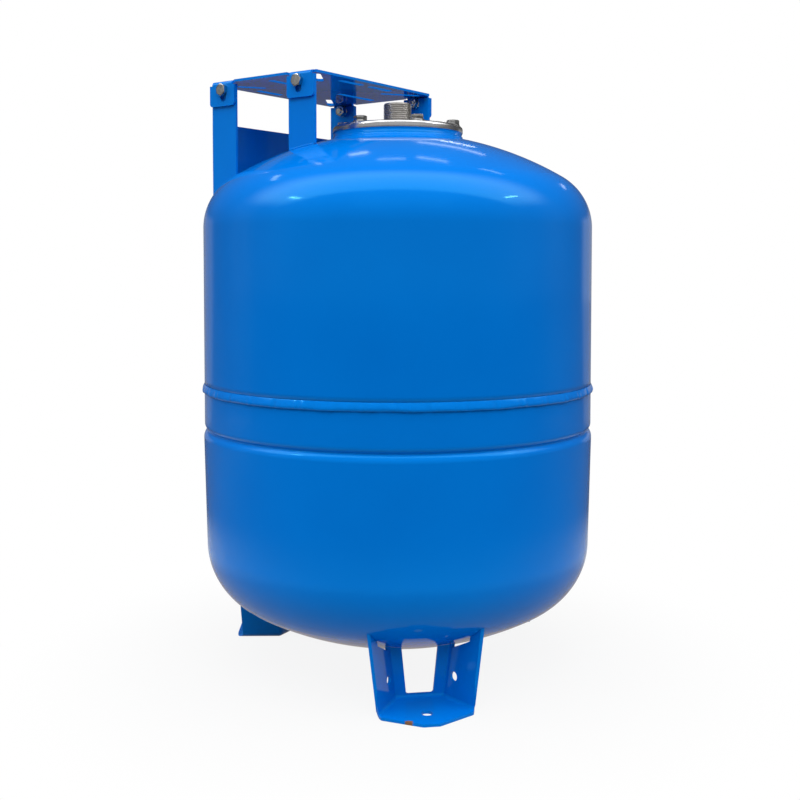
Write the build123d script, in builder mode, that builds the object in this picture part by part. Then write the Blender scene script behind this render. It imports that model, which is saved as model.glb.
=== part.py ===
from build123d import *
from math import acos, atan2, cos, degrees, radians, sin, sqrt, tan
import os

os.makedirs("parts", exist_ok=True)

# Well pressure tank, upright, for about 80 litres, with a bolted pump platform on its top dome.
# Millimetres. +Z is up, the origin is on the tank's axis at floor level, and the long side of
# the pump platform runs along X. Angles are measured about Z from +X.

# Steel bottle
body_r = 225.0  # outside of the straight part
wall = 1.5  # sheet of both halves
weld_gap = 0.15  # left between curved faces that a weld or paint closes
ground_clearance = 23.5  # floor to the lowest point of the bottom dome
lower_knuckle_r = 81.5
lower_crown_r = 367.0
lower_draft = 3.0  # the drawn lower half is this much narrower at its knuckle than at its rim
rim_step = 1.0  # the rim below the groove stands this far outside the upper half
lower_wall_h = 129.0  # bottom knuckle to the groove's lower lip
groove_depth = 3.2
groove_floor_h = 1.4
groove_lower_run = 1.6  # rise of the short side of the groove
groove_upper_run = 5.8  # rise of the long side of the groove
groove_lip_r = 3.2
groove_floor_r = 1.2
groove_curl_r = 13.0
joggle_r = 1.0  # bends of the rim that slips inside
seam_rise = 47.7  # groove floor to the seam between the halves
seam_split = 5.0  # height of the joint that the weld covers
spigot_h = 14.0  # the lower half's rim, reduced, inside the upper half
upper_wall_h = 182.6  # seam to the top knuckle
upper_knuckle_r = 67.0
upper_crown_r = 377.0

# Weld over the seam
seam_weld_h = 10.6
seam_weld_proud = 2.7
seam_weld_crest = 1.3  # the crest lies this far above the seam

# Neck ring, flange and threaded outlet
neck_r = 76.0
neck_stand = 7.8  # ring top above the dome, at the ring's rim
neck_bore_r = 50.0
neck_spigot_r = 71.0  # the part of the ring that fills the hole in the dome
neck_depth = 15.5
flange_h = 8.4  # height of the pressed flange with its turned-down rim
flange_t = 3.2
flange_edge_r = 4.4
bolt_circle_r = 65.0
flange_bolt_count = 6
flange_bolt_turn = 56.0
outlet_r = 16.62  # crest of a G 1 male thread
outlet_bore_r = 13.0
outlet_stand = 27.0  # above the flange
outlet_tail = 3.5  # below the flange's sheet
outlet_chamfer = 1.3
outlet_weld = 3.0

# M8 hexagon fasteners
bolt_r = 3.95
clear_r = 4.5  # hole or half slot width for an M8 bolt
tapped_r = 4.05
hex_flat = 13.0
head_h = 5.3
nut_h = 6.5
washer_r = 8.0
small_washer_r = 7.5  # of the narrow washers under the platform
washer_t = 1.6
hex_chamfer = 0.7
flange_bolt_grip = 10.0  # thread in the neck ring
tapped_depth = 12.0

# Rubber bladder
bladder_wall = 2.5
bladder_lip_r = 59.0
bladder_mouth_r = 44.0
bladder_r = 165.0
bladder_shoulder_r = 90.0
bladder_end_gap = 42.0  # bag to the bottle, above and below

# Pump platform
platform_l = 230.0
platform_w = 161.0
platform_t = 3.0
platform_offset = 111.5  # axis of the tank to the middle of the platform
platform_lift = 55.4  # flange top to platform top
bend_r = 1.5  # inside radius of the folded sheet
tab_w = 39.5
tab_h = 29.5
tab_corner_r = 4.0
relief_w = 4.0
relief_d = 5.0
tab_slot_h = 18.0
tab_bolt_drop = 10.8  # platform top to the bolts
tab_bolt_inset = 22.0  # long edge of the platform to the bolts
slot_half_w = 4.5
row_slot_l = 44.0
row_slot_pitch = 56.0
row_slot_inset = 16.0  # long edge to the slots beside it
mid_slot_l = 70.0
mid_slot_pitch = 126.0
corner_slot_l = 52.0
corner_slot_in_x = 36.0  # short edge to the middle of a corner's slanted slot
corner_slot_in_y = 23.0  # long edge to the middle of a corner's slanted slot

# Posts that carry the platform
post_t = 3.0
post_w = 39.0
post_inset = 0.4  # long edge of the platform to the posts' outer edges
post_top_gap = 1.7  # platform sheet to the posts' tops, clear of the fold
web_top_drop = 47.5  # platform top to the web's upper edge
web_h = 58.0
web_edge_relief = 2.0  # the posts' free edges start this far inside the web's face

# Feet, at places measured inwards from the bottle's outside
foot_turn = 225.0  # of the first foot
foot_spread = 128.3  # from the first foot to each of the other two
foot_t = 3.0
foot_web_in = 75.0  # to the outside of the foot's inner wall
foot_web_half = 26.9  # at floor level
foot_flare_deg = 30.4  # side walls from the radial direction, in plan
foot_lean = 0.119  # side walls lean out by this much of their height
foot_bend_r = 4.0
foot_front_in = 33.7  # to the front edge of the side walls
foot_shoulder_in = 23.5
foot_shoulder_half = 48.0
foot_nose_in = 0.0
foot_nose_half = 8.7
foot_nose_r = 5.0
anchor_in = 28.0
anchor_r = 6.0
window_bottom_z = 7.0
window_bottom_half = 14.5
window_lean = 0.1  # each side of the window leans out by this much of its height
window_corner_r = 3.0
side_hole_r = 5.0
side_hole_in = 63.0
side_hole_z = 27.0
top_relief = 4.0  # gap between a side wall's top edge and the bottle
top_relief_in = 69.0  # start of the gap
top_relief_l = 22.5

# Air valve under the bottom dome
valve_socket_r = 9.0
valve_socket_h = 6.5
valve_socket_drop = 3.0  # the socket's face lies this far below the dome
valve_stem_r = 3.85
valve_stem_drop = 12.5  # socket's face to the stem's end
valve_hex_flat = 11.0
valve_hex_h = 3.0
valve_core_r = 1.95
valve_core_h = 11.0
valve_cap_wall = 1.4
valve_gap = 0.15

# How far an edge may be from a line or a length and still count as on it
near = 0.01


def knuckle_join(rim_r, knuckle_r, crown_r):
    """Distance between the dome's two centres along the axis, and the angle where its arcs meet."""
    centre_r = rim_r - knuckle_r
    drop = sqrt((crown_r - knuckle_r) ** 2 - centre_r**2)
    return drop, degrees(atan2(drop, centre_r))


def dome_depth(rim_r, knuckle_r, crown_r):
    """Height of a dished end from its tangent line to the middle of its crown."""
    return crown_r - knuckle_join(rim_r, knuckle_r, crown_r)[0]


def crown_rise(radius, rim_r, knuckle_r, crown_r):
    """Height of the crown above the dome's tangent line at a radius from the axis."""
    return sqrt(crown_r**2 - radius**2) - knuckle_join(rim_r, knuckle_r, crown_r)[0]


def dome_lines(rim_r, knuckle_r, crown_r, tangent_z, way, opening_r, inside=0.0):
    """Draw knuckle and crown arcs in the active line builder, from the rim to an opening."""
    drop, join = knuckle_join(rim_r, knuckle_r, crown_r)
    last = degrees(acos(opening_r / (crown_r - inside)))
    CenterArc((rim_r - knuckle_r, tangent_z), knuckle_r - inside, 0, way * join)
    CenterArc((0, tangent_z - way * drop), crown_r - inside, way * join, way * (last - join))


# Levels and radii that follow from the sizes above
lower_rim_r = body_r + rim_step
lower_r = lower_rim_r - lower_draft
lower_tangent_z = ground_clearance + dome_depth(lower_r, lower_knuckle_r, lower_crown_r)
groove_r = body_r - groove_depth
groove_lip_z = lower_tangent_z + lower_wall_h
groove_z = groove_lip_z + groove_lower_run
seam_z = groove_z + seam_rise
upper_tangent_z = seam_z + upper_wall_h
spigot_r = body_r - wall - weld_gap
neck_top_z = upper_tangent_z + neck_stand
neck_top_z += crown_rise(neck_r, body_r, upper_knuckle_r, upper_crown_r)
flange_top_z = neck_top_z + flange_h
platform_top_z = flange_top_z + platform_lift
platform_under_z = platform_top_z - platform_t
half_l = platform_l / 2
half_w = platform_w / 2


def outline_r(z, inside):
    """Radius of the lower half's drafted wall at a height, less a depth."""
    return lower_r + lower_draft * (z - lower_tangent_z) / lower_wall_h - inside


def lower_wall_points(inside):
    """Corners of the lower half's wall from its knuckle to the rim inside the upper half."""
    return [
        (lower_r - inside, lower_tangent_z),
        (outline_r(groove_lip_z, inside), groove_lip_z),
        (groove_r - inside, groove_z),
        (groove_r - inside, groove_z + groove_floor_h),
        (body_r - inside, groove_z + groove_floor_h + groove_upper_run),
        (body_r - inside, seam_z - seam_split / 2),
        (spigot_r - inside, seam_z + seam_split / 2),
        (spigot_r - inside, seam_z + seam_split / 2 + spigot_h),
    ]


lower_wall_radii = [groove_lip_r, groove_floor_r, groove_floor_r, groove_curl_r, joggle_r, joggle_r]


def bottle_form(upper, grow):
    """Solid of the upper or lower half's outside, grown outwards, to trim what is welded on."""
    with BuildPart() as form:
        with BuildSketch(Plane.XZ):
            with BuildLine():
                if upper:
                    sizes = (body_r + grow, upper_knuckle_r + grow, upper_crown_r + grow)
                    dome_lines(*sizes, upper_tangent_z, 1, 0)
                    rim = (body_r + grow, upper_tangent_z)
                    top = (0, upper_tangent_z + dome_depth(*sizes))
                else:
                    sizes = (lower_r + grow, lower_knuckle_r + grow, lower_crown_r + grow)
                    dome_lines(*sizes, lower_tangent_z, -1, 0)
                    rim = (lower_r + grow, lower_tangent_z)
                    top = (0, lower_tangent_z - dome_depth(*sizes))
                Polyline(rim, (rim[0], seam_z), (0, seam_z), top)
            make_face()
        revolve(axis=Axis.Z)
    return form.part


# Upper half of the bottle: top dome and straight wall, with a hole for the neck ring
neck_hole_r = neck_spigot_r + weld_gap
upper_rim_z = seam_z + seam_split / 2
upper_sizes = (body_r, upper_knuckle_r, upper_crown_r)
lower_sizes = (lower_r, lower_knuckle_r, lower_crown_r)
upper_centre_z = upper_tangent_z - knuckle_join(*upper_sizes)[0]
hole_top_z = upper_centre_z + sqrt(upper_crown_r**2 - neck_hole_r**2)
hole_under_z = upper_centre_z + sqrt((upper_crown_r - wall) ** 2 - neck_hole_r**2)
with BuildPart() as upper_shell:
    with BuildSketch(Plane.XZ):
        with BuildLine():
            dome_lines(*upper_sizes, upper_tangent_z, 1, neck_hole_r)
            dome_lines(*upper_sizes, upper_tangent_z, 1, neck_hole_r, wall)
            Polyline(
                (body_r, upper_tangent_z),
                (body_r, upper_rim_z),
                (body_r - wall, upper_rim_z),
                (body_r - wall, upper_tangent_z),
            )
            Line((neck_hole_r, hole_top_z), (neck_hole_r, hole_under_z))
        make_face()
    revolve(axis=Axis.Z)
upper_shell.part.label = "upper_shell"
export_step(upper_shell.part, "parts/upper_shell.step")

# Lower half: drafted wall with a rolled groove, a rim reduced to slip inside the upper half,
# and a hole in the middle of the bottom dome for the valve socket
valve_hole_r = valve_socket_r + weld_gap
lower_centre_z = lower_tangent_z + knuckle_join(*lower_sizes)[0]
valve_hole_z = lower_centre_z - sqrt(lower_crown_r**2 - valve_hole_r**2)
valve_hole_in_z = lower_centre_z - sqrt((lower_crown_r - wall) ** 2 - valve_hole_r**2)
with BuildPart() as lower_shell:
    with BuildSketch(Plane.XZ):
        with BuildLine():
            dome_lines(*lower_sizes, lower_tangent_z, -1, valve_hole_r)
            dome_lines(*lower_sizes, lower_tangent_z, -1, valve_hole_r, wall)
            outer = FilletPolyline(*lower_wall_points(0), radius=lower_wall_radii)
            inner = FilletPolyline(*lower_wall_points(wall), radius=lower_wall_radii)
            Line(outer @ 1, inner @ 1)
            Line((valve_hole_r, valve_hole_z), (valve_hole_r, valve_hole_in_z))
        make_face()
    revolve(axis=Axis.Z)
lower_shell.part.label = "lower_shell"
export_step(lower_shell.part, "parts/lower_shell.step")

# Weld bead over the seam, fuller above than below
with BuildPart() as girth_weld:
    with BuildSketch(Plane.XZ):
        with BuildLine():
            weld_r = body_r + weld_gap
            top = (weld_r, seam_z + seam_weld_h / 2)
            foot = (weld_r, seam_z - seam_weld_h / 2)
            Spline(
                top,
                (body_r + seam_weld_proud, seam_z + seam_weld_crest),
                foot,
                tangents=[(1, -0.2), (-0.6, -1)],
            )
            Line(top, foot)
        make_face()
    revolve(axis=Axis.Z)
girth_weld.part.label = "girth_weld"
export_step(girth_weld.part, "parts/girth_weld.step")

# Neck ring: a thick ring with blind tapped holes, its rim shaped to sit on the dome
with BuildPart() as neck_ring:
    with BuildSketch(Plane.XZ):
        with BuildLine():
            seat = CenterArc(
                (0, upper_centre_z),
                upper_crown_r + weld_gap,
                degrees(acos(neck_r / (upper_crown_r + weld_gap))),
                degrees(acos(neck_spigot_r / (upper_crown_r + weld_gap)))
                - degrees(acos(neck_r / (upper_crown_r + weld_gap))),
            )
            Polyline(
                seat @ 0,
                (neck_r, neck_top_z),
                (neck_bore_r, neck_top_z),
                (neck_bore_r, neck_top_z - neck_depth),
                (neck_spigot_r, neck_top_z - neck_depth),
                seat @ 1,
            )
        make_face()
    revolve(axis=Axis.Z)
    with BuildSketch(Plane.XY.offset(neck_top_z)):
        with PolarLocations(bolt_circle_r, flange_bolt_count, flange_bolt_turn):
            Circle(tapped_r)
    extrude(amount=-tapped_depth, mode=Mode.SUBTRACT)
neck_ring.part.label = "neck_ring"
export_step(neck_ring.part, "parts/neck_ring.step")

# Flange: pressed from sheet, with a turned-down rim that stands on the neck ring
outlet_hole_r = outlet_r + weld_gap
with BuildPart() as flange:
    with BuildSketch(Plane.XY.offset(neck_top_z)):
        Circle(neck_r)
    extrude(amount=flange_h)
    fillet(flange.edges().group_by(Axis.Z)[-1], flange_edge_r)
    with BuildSketch(Plane.XY.offset(neck_top_z)):
        Circle(neck_r - flange_t)
    extrude(amount=flange_h - flange_t, mode=Mode.SUBTRACT)
    with BuildSketch(Plane.XY.offset(flange_top_z)):
        Circle(outlet_hole_r)
        with PolarLocations(bolt_circle_r, flange_bolt_count, flange_bolt_turn):
            Circle(clear_r)
    extrude(amount=-flange_h, mode=Mode.SUBTRACT)
flange.part.label = "flange"
export_step(flange.part, "parts/flange.step")

# Threaded outlet, welded into the flange by the small collar that stands on it
outlet_top_z = flange_top_z + outlet_stand
outlet_foot_z = flange_top_z - flange_t - outlet_tail
with BuildPart() as outlet_nipple:
    with BuildSketch(Plane.XZ):
        with BuildLine():
            Polyline(
                (outlet_bore_r, outlet_foot_z),
                (outlet_r, outlet_foot_z),
                (outlet_r, flange_top_z),
                (outlet_r + outlet_weld, flange_top_z),
                (outlet_r, flange_top_z + outlet_weld),
                (outlet_r, outlet_top_z - outlet_chamfer),
                (outlet_r - outlet_chamfer, outlet_top_z),
                (outlet_bore_r, outlet_top_z),
                close=True,
            )
        make_face()
    revolve(axis=Axis.Z)
outlet_nipple.part.label = "outlet_nipple"
export_step(outlet_nipple.part, "parts/outlet_nipple.step")

# Six bolts and washers that clamp the flange and the bladder's lip to the neck ring
washer_top_z = flange_top_z + washer_t
with BuildPart() as flange_washers:
    with BuildSketch(Plane.XY.offset(flange_top_z)):
        with PolarLocations(bolt_circle_r, flange_bolt_count, flange_bolt_turn):
            Circle(washer_r)
            Circle(clear_r, mode=Mode.SUBTRACT)
    extrude(amount=washer_t)
flange_washers.part.label = "flange_washers"
export_step(flange_washers.part, "parts/flange_washers.step")

with BuildPart() as flange_bolts:
    with BuildSketch(Plane.XY.offset(washer_top_z)):
        with PolarLocations(bolt_circle_r, flange_bolt_count, flange_bolt_turn):
            RegularPolygon(hex_flat / 2, 6, major_radius=False)
    extrude(amount=head_h)
    chamfer(flange_bolts.edges().group_by(Axis.Z)[-1], hex_chamfer)
    with BuildSketch(Plane.XY.offset(washer_top_z)):
        with PolarLocations(bolt_circle_r, flange_bolt_count, flange_bolt_turn):
            Circle(bolt_r)
    extrude(amount=-(washer_t + flange_h + flange_bolt_grip))
flange_bolts.part.label = "flange_bolts"
export_step(flange_bolts.part, "parts/flange_bolts.step")

# Rubber bladder: a bag hung in the bottle by the lip between flange and neck ring
lip_t = flange_h - flange_t
bag_top_z = hole_under_z - bladder_end_gap
bag_foot_z = ground_clearance + bladder_end_gap
mouth_r = bladder_mouth_r
with BuildPart() as bladder:
    with BuildSketch(Plane.XZ):
        with BuildLine():
            bag = FilletPolyline(
                (0, bag_foot_z),
                (bladder_r, bag_foot_z),
                (bladder_r, bag_top_z),
                (mouth_r, bag_top_z),
                (mouth_r, neck_top_z + lip_t),
                radius=[bladder_shoulder_r, bladder_shoulder_r, bladder_end_gap / 2],
            )
            Line(bag @ 0, (0, bag_foot_z + bladder_wall))
            lining = FilletPolyline(
                (0, bag_foot_z + bladder_wall),
                (bladder_r - bladder_wall, bag_foot_z + bladder_wall),
                (bladder_r - bladder_wall, bag_top_z - bladder_wall),
                (mouth_r - bladder_wall, bag_top_z - bladder_wall),
                (mouth_r - bladder_wall, neck_top_z + lip_t),
                radius=[
                    bladder_shoulder_r - bladder_wall,
                    bladder_shoulder_r - bladder_wall,
                    bladder_end_gap / 2 + bladder_wall,
                ],
            )
            Line(lining @ 1, bag @ 1)
        make_face()
    revolve(axis=Axis.Z)
    with BuildSketch(Plane.XY.offset(neck_top_z)):
        Circle(bladder_lip_r)
        Circle(mouth_r - bladder_wall / 2, mode=Mode.SUBTRACT)
    extrude(amount=lip_t)
bladder.part.label = "bladder"
export_step(bladder.part, "parts/bladder.step")

# Pump platform: slotted sheet with four tabs folded down at its short ends
platform_y = platform_offset
tab_y = half_w - tab_w / 2
bolt_y = half_w - tab_bolt_inset
bolt_z = platform_top_z - tab_bolt_drop
tab_foot_z = platform_top_z - tab_h
sheet_bend = platform_t + bend_r
tab_centres = [(end, side) for end in (-1, 1) for side in (-1, 1)]
corner_turn = degrees(atan2(platform_w, platform_l))
with BuildPart() as pump_platform:
    with BuildSketch(Plane.XY.offset(platform_under_z)):
        with Locations((0, platform_y)):
            Rectangle(platform_l, platform_w)
            with GridLocations(mid_slot_pitch, 0, 2, 1):
                SlotOverall(mid_slot_l, 2 * slot_half_w, mode=Mode.SUBTRACT)
            with GridLocations(row_slot_pitch, platform_w - 2 * row_slot_inset, 2, 2):
                SlotOverall(row_slot_l, 2 * slot_half_w, mode=Mode.SUBTRACT)
            for end, side in tab_centres:
                middle = (end * (half_l - corner_slot_in_x), side * (half_w - corner_slot_in_y))
                with Locations(Location(middle, end * side * corner_turn)):
                    SlotOverall(corner_slot_l, 2 * slot_half_w, mode=Mode.SUBTRACT)
    extrude(amount=platform_t)
    with BuildSketch(Plane.XY.offset(tab_foot_z)):
        for end, side in tab_centres:
            with Locations((end * (half_l - platform_t / 2), platform_y + side * tab_y)):
                Rectangle(platform_t, tab_w)
    extrude(amount=tab_h)
    with BuildSketch(Plane.XY.offset(platform_top_z)):
        for end, side in tab_centres:
            for edge in (-1, 1):
                with Locations(
                    (
                        end * (half_l - relief_d / 2),
                        platform_y + side * tab_y + edge * (tab_w - relief_w) / 2,
                    )
                ):
                    Rectangle(relief_d, relief_w)
    extrude(amount=-relief_d, mode=Mode.SUBTRACT)
    folds = (
        pump_platform.edges()
        .filter_by(Axis.Y)
        .filter_by(lambda e: abs(e.length - (tab_w - 2 * relief_w)) < near)
    )
    fillet(folds.filter_by(lambda e: e.center().Z > platform_under_z + platform_t / 2), sheet_bend)
    fillet(
        pump_platform.edges()
        .filter_by(Axis.Y)
        .filter_by(lambda e: abs(e.length - (tab_w - 2 * relief_w)) < near)
        .filter_by(lambda e: abs(e.center().Z - platform_under_z) < near)
        .filter_by(lambda e: abs(abs(e.center().X) - (half_l - platform_t)) < near),
        bend_r,
    )
    fillet(
        pump_platform.edges()
        .filter_by(Axis.X)
        .filter_by(lambda e: abs(e.center().Z - tab_foot_z) < near),
        tab_corner_r,
    )
    with BuildSketch(Plane.YZ.offset(-platform_l)):
        with Locations(
            *[(platform_y + side * bolt_y, bolt_z + clear_r - tab_slot_h / 2) for side in (-1, 1)]
        ):
            SlotOverall(tab_slot_h, 2 * clear_r, rotation=90)
    extrude(amount=2 * platform_l, mode=Mode.SUBTRACT)
pump_platform.part.label = "pump_platform"
export_step(pump_platform.part, "parts/pump_platform.step")

# Outer support: one sheet bent to a U, its two legs being the posts away from the flange
upper_trim = bottle_form(True, weld_gap)
post_face_x = half_l - platform_t
post_top_z = platform_under_z - post_top_gap
post_edge_y = platform_y + half_w - post_inset
web_face_y = post_edge_y + web_edge_relief
leg_inner_y = post_edge_y - post_w
web_top_z = platform_top_z - web_top_drop
web_foot_z = web_top_z - web_h
with BuildPart() as outer_support:
    with BuildSketch(Plane.XY.offset(seam_z)):
        with Locations((0, (leg_inner_y + web_face_y) / 2)):
            Rectangle(2 * post_face_x, web_face_y - leg_inner_y)
        with Locations((0, (leg_inner_y + web_face_y) / 2 - post_t)):
            Rectangle(
                2 * (post_face_x - post_t), web_face_y - leg_inner_y, mode=Mode.SUBTRACT
            )
    extrude(amount=post_top_z - seam_z)
    uprights = outer_support.edges().filter_by(Axis.Z).group_by(Axis.Y)
    fillet(uprights[-1], post_t + bend_r)
    inner_bends = (
        outer_support.edges()
        .filter_by(Axis.Z)
        .filter_by(lambda e: abs(e.center().Y - (web_face_y - post_t)) < near)
        .filter_by(lambda e: abs(abs(e.center().X) - (post_face_x - post_t)) < near)
    )
    fillet(inner_bends, bend_r)
    for low, high in ((seam_z, web_foot_z), (web_top_z, post_top_z)):
        with BuildSketch(Plane.XY.offset(low)):
            with Locations((0, post_edge_y + platform_w / 2)):
                Rectangle(2 * platform_l, platform_w)
            with Locations((0, post_edge_y)):
                Rectangle(2 * (post_face_x - post_t), 2 * (post_t + bend_r))
        extrude(amount=high - low, mode=Mode.SUBTRACT)
    with BuildSketch(Plane.YZ.offset(-platform_l)):
        with Locations((platform_y + bolt_y, bolt_z)):
            Circle(clear_r)
    extrude(amount=2 * platform_l, mode=Mode.SUBTRACT)
    add(upper_trim, mode=Mode.SUBTRACT)
outer_support.part.label = "outer_support"
export_step(outer_support.part, "parts/outer_support.step")

# Inner posts: two straight strips beside the flange
for name, end in (("inner_post_left", -1), ("inner_post_right", 1)):
    with BuildPart() as inner_post:
        with BuildSketch(Plane.XY.offset(seam_z)):
            with Locations(
                (
                    end * (post_face_x - post_t / 2),
                    platform_y - half_w + post_inset + post_w / 2,
                )
            ):
                Rectangle(post_t, post_w)
        extrude(amount=post_top_z - seam_z)
        with BuildSketch(Plane.YZ.offset(-platform_l)):
            with Locations((platform_y - bolt_y, bolt_z)):
                Circle(clear_r)
        extrude(amount=2 * platform_l, mode=Mode.SUBTRACT)
        add(upper_trim, mode=Mode.SUBTRACT)
    inner_post.part.label = name
    export_step(inner_post.part, f"parts/{name}.step")

# Four bolts through tabs and posts, with washers and nuts inside
bolt_spots = [(platform_y + side * bolt_y, bolt_z) for side in (-1, 1)]
stack = platform_t + post_t + washer_t + nut_h
end_planes = [
    Plane((-half_l, 0, 0), x_dir=(0, 1, 0), z_dir=(1, 0, 0)),
    Plane((half_l, 0, 0), x_dir=(0, -1, 0), z_dir=(-1, 0, 0)),
]


def spots(plane):
    """Bolt places in a plane whose first direction is +Y or -Y."""
    way = plane.x_dir.Y
    return [(way * y, z) for y, z in bolt_spots]


with BuildPart() as platform_bolts:
    for plane in end_planes:
        with BuildSketch(plane):
            with Locations(*spots(plane)):
                RegularPolygon(hex_flat / 2, 6, major_radius=False)
        extrude(amount=-head_h)
        with BuildSketch(plane):
            with Locations(*spots(plane)):
                Circle(bolt_r)
        extrude(amount=stack + bolt_r / 2)
    chamfer(
        platform_bolts.edges()
        .filter_by(GeomType.LINE)
        .filter_by(lambda e: abs(abs(e.center().X) - (half_l + head_h)) < near),
        hex_chamfer,
    )
platform_bolts.part.label = "platform_bolts"
export_step(platform_bolts.part, "parts/platform_bolts.step")

with BuildPart() as platform_washers:
    for plane in end_planes:
        with BuildSketch(plane.offset(platform_t + post_t)):
            with Locations(*spots(plane)):
                Circle(small_washer_r)
                Circle(clear_r, mode=Mode.SUBTRACT)
        extrude(amount=washer_t)
platform_washers.part.label = "platform_washers"
export_step(platform_washers.part, "parts/platform_washers.step")

with BuildPart() as platform_nuts:
    for plane in end_planes:
        with BuildSketch(plane.offset(platform_t + post_t + washer_t)):
            with Locations(*spots(plane)):
                RegularPolygon(hex_flat / 2, 6, major_radius=False)
        extrude(amount=nut_h)
    chamfer(
        platform_nuts.edges()
        .filter_by(GeomType.LINE)
        .filter_by(lambda e: abs(abs(e.center().X) - (half_l - stack)) < near),
        hex_chamfer,
    )
    for plane in end_planes:
        with BuildSketch(plane.offset(platform_t + post_t)):
            with Locations(*spots(plane)):
                Circle(tapped_r)
        extrude(amount=stack, mode=Mode.SUBTRACT)
platform_nuts.part.label = "platform_nuts"
export_step(platform_nuts.part, "parts/platform_nuts.step")

# Feet: pressed channels that open outwards, each made along +X and turned to its place.
# The inner wall has a window, the side walls flare, and the base runs out to a blunt nose.
lower_trim = bottle_form(False, weld_gap)
relief_form = bottle_form(False, top_relief)
foot_top_z = lower_tangent_z
foot_web_rho = body_r - foot_web_in
foot_front_rho = body_r - foot_front_in
foot_shoulder_rho = body_r - foot_shoulder_in
foot_nose_rho = body_r - foot_nose_in
anchor_rho = body_r - anchor_in
side_hole_rho = body_r - side_hole_in
relief_rho = body_r - top_relief_in
blank_rho = foot_nose_rho + foot_t
flare = tan(radians(foot_flare_deg))
foot_round = foot_bend_r + foot_t
wall_normal_in = (-sin(radians(foot_flare_deg)), cos(radians(foot_flare_deg)))


def channel_half(rho, z):
    """Half width of the channel's outside at a distance from the axis and a height."""
    return foot_web_half + foot_lean * z + flare * (rho - foot_web_rho)


with BuildPart() as top_relief_cut:
    with BuildSketch(Plane.XY):
        with Locations((relief_rho + top_relief_l / 2, 0)):
            Rectangle(top_relief_l, 2 * foot_nose_rho)
    extrude(amount=foot_top_z)
    add(relief_form, mode=Mode.INTERSECT)

with BuildPart() as foot_form:
    for level in (0, foot_top_z):
        with BuildSketch(Plane.XY.offset(level)):
            with BuildLine():
                Polyline(
                    (foot_web_rho, -channel_half(foot_web_rho, level)),
                    (blank_rho, -channel_half(blank_rho, level)),
                    (blank_rho, channel_half(blank_rho, level)),
                    (foot_web_rho, channel_half(foot_web_rho, level)),
                    close=True,
                )
            make_face()
    loft()
    web_edges = (
        foot_form.edges()
        .group_by(Axis.X)[0]
        .filter_by(lambda e: abs(e.center().Z - foot_top_z / 2) < foot_t)
    )
    floor_edges = (
        foot_form.edges()
        .group_by(Axis.Z)[0]
        .filter_by(lambda e: e.center().X < blank_rho - foot_t / 2)
    )
    fillet(web_edges + floor_edges, foot_round)
    offset(
        amount=-foot_t,
        openings=[foot_form.faces().sort_by(Axis.Z)[-1], foot_form.faces().sort_by(Axis.X)[-1]],
    )
    half_mouth = channel_half(foot_front_rho, 0)
    wide = channel_half(blank_rho, foot_top_z)
    with BuildSketch(Plane.XY):
        with BuildLine():
            Polyline(
                (0, -wide),
                (foot_front_rho, -wide),
                (foot_front_rho, -half_mouth),
                (foot_shoulder_rho, -foot_shoulder_half),
                (foot_nose_rho, -foot_nose_half),
                (foot_nose_rho, foot_nose_half),
                (foot_shoulder_rho, foot_shoulder_half),
                (foot_front_rho, half_mouth),
                (foot_front_rho, wide),
                (0, wide),
                close=True,
            )
        outline = make_face()
        rounded = outline.vertices().filter_by(lambda v: v.X > foot_front_rho + foot_t / 2)
        fillet(rounded, foot_nose_r)
        with Locations((anchor_rho, 0)):
            Circle(anchor_r, mode=Mode.SUBTRACT)
    extrude(amount=foot_top_z, mode=Mode.INTERSECT)
    window_top_half = window_bottom_half + window_lean * (foot_top_z - window_bottom_z)
    with BuildSketch(Plane.YZ.offset(foot_web_rho - foot_t)):
        with BuildLine():
            Polyline(
                (-window_bottom_half, window_bottom_z),
                (window_bottom_half, window_bottom_z),
                (window_top_half, foot_top_z),
                (-window_top_half, foot_top_z),
                close=True,
            )
        window = make_face()
        fillet(window.vertices().group_by(Axis.Y)[0], window_corner_r)
    extrude(amount=3 * foot_t, mode=Mode.SUBTRACT)
    for side in (-1, 1):
        hole_y = side * channel_half(side_hole_rho, side_hole_z)
        hole_plane = Plane(
            (side_hole_rho, hole_y, side_hole_z),
            z_dir=(wall_normal_in[0], side * wall_normal_in[1], 0),
        )
        with BuildSketch(hole_plane):
            Circle(side_hole_r)
        extrude(amount=2 * foot_t, both=True, mode=Mode.SUBTRACT)
    add(lower_trim, mode=Mode.SUBTRACT)
    add(top_relief_cut.part, mode=Mode.SUBTRACT)

for name, way in (("foot_left", 0), ("foot_right", 1), ("foot_back", -1)):
    with BuildPart() as foot:
        add(foot_form.part, rotation=(0, 0, foot_turn + way * foot_spread))
    foot.part.label = name
    export_step(foot.part, f"parts/{name}.step")

# Air valve in the middle of the bottom dome: socket, stem, core and cap
valve_face_z = ground_clearance - valve_socket_drop
stem_foot_z = valve_face_z - valve_stem_drop
stem_top_z = valve_face_z + valve_socket_h - valve_socket_drop / 2
with BuildPart() as air_valve_socket:
    with BuildSketch(Plane.XY.offset(valve_face_z)):
        Circle(valve_socket_r)
        Circle(valve_stem_r + valve_gap, mode=Mode.SUBTRACT)
    extrude(amount=valve_socket_h)
air_valve_socket.part.label = "air_valve_socket"
export_step(air_valve_socket.part, "parts/air_valve_socket.step")

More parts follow.
